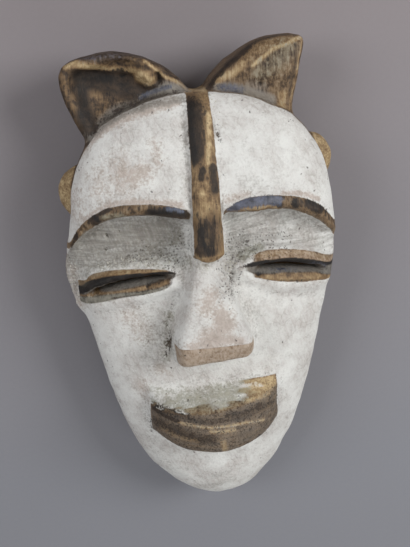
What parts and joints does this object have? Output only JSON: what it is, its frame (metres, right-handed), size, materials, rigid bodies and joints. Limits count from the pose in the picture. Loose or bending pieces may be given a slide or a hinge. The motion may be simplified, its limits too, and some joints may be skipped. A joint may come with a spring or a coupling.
{
  "type": "carved wooden face mask",
  "caption": "Painted wooden face mask with a central forehead band, slit eyes, a wedge nose and upright cat-like ears, hollowed from behind.",
  "frame": {"origin": "on the surface that the back rim lies on, under the middle of the outline", "axes": "+Z out of the face, +Y from the chin to the top of the head, +X to the right side of the face as seen from the front"},
  "size_m": [0.1676, 0.302, 0.093],
  "materials": {
    "painted_wood": "matt white earth paint over carved wood, worn, with dark brown and ochre bands"
  },
  "bodies": {
    "root": {"mask": "painted_wood"}
  },
  "joints": []
}
